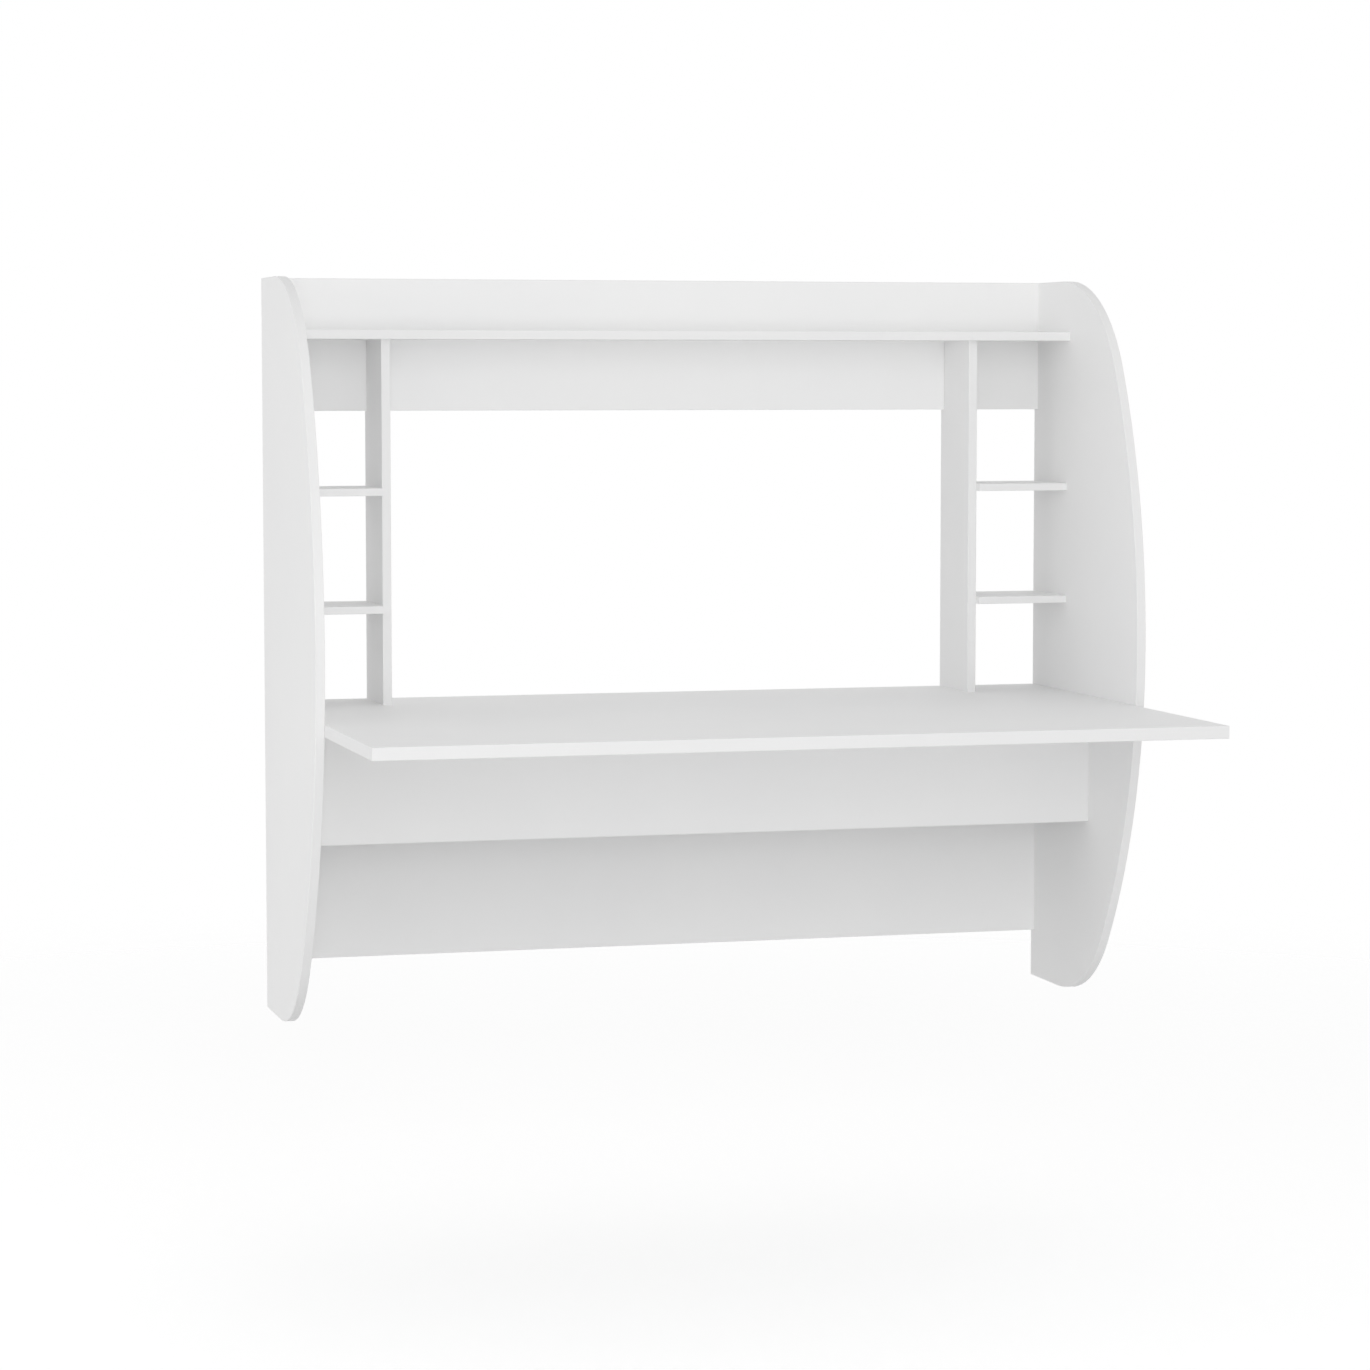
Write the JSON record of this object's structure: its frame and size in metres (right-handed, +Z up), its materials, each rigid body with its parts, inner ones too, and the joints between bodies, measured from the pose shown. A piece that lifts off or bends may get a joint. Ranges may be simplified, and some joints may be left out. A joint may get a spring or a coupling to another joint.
{
  "type": "floating desk",
  "caption": "Wall-hung writing desk with bow-fronted sides, a deep desktop, a top shelf and open cubbies beside a screen bay.",
  "frame": {"origin": "middle of the four wall-screw holes, on the wall plane; the desktop's top is 100 mm above it", "axes": "+Z up, +Y into the wall, front towards -Y, +X to the right of someone who sits at the desk"},
  "size_m": [1.1, 0.692, 0.972],
  "materials": {
    "white_laminate": "particle board faced with smooth white laminate",
    "white_edging": "satin white edging strip with rounded edges",
    "zinc_plated_steel": "zinc plated",
    "zinc_die_casting": "plain grey die casting",
    "beech_dowel": "plain beech"
  },
  "bodies": {
    "root": {"left_side": "white_laminate", "right_side": "white_laminate", "desktop": "white_laminate", "rail": "white_laminate", "lower_panel": "white_laminate", "apron": "white_laminate", "top_shelf": "white_laminate", "left_divider": "white_laminate", "right_divider": "white_laminate", "left_upper_cubby_shelf": "white_laminate", "left_lower_cubby_shelf": "white_laminate", "right_upper_cubby_shelf": "white_laminate", "right_lower_cubby_shelf": "white_laminate", "left_side_edging": "white_edging", "right_side_edging": "white_edging", "desktop_front_edging": "white_edging", "desktop_left_edging": "white_edging", "desktop_right_edging": "white_edging", "rail_top_edging": "white_edging", "rail_bottom_edging": "white_edging", "lower_panel_edging": "white_edging", "apron_edging": "white_edging", "top_shelf_edging": "white_edging", "left_divider_edging": "white_edging", "right_divider_edging": "white_edging", "left_upper_cubby_shelf_edging": "white_edging", "left_lower_cubby_shelf_edging": "white_edging", "right_upper_cubby_shelf_edging": "white_edging", "right_lower_cubby_shelf_edging": "white_edging", "cam_bolts": "zinc_plated_steel", "divider_screws": "zinc_plated_steel", "shelf_screws": "zinc_plated_steel", "hanger_screws": "zinc_plated_steel", "left_keyhole_hanger": "zinc_plated_steel", "right_keyhole_hanger": "zinc_plated_steel", "cam_locks": "zinc_die_casting", "dowels": "beech_dowel"}
  },
  "joints": []
}
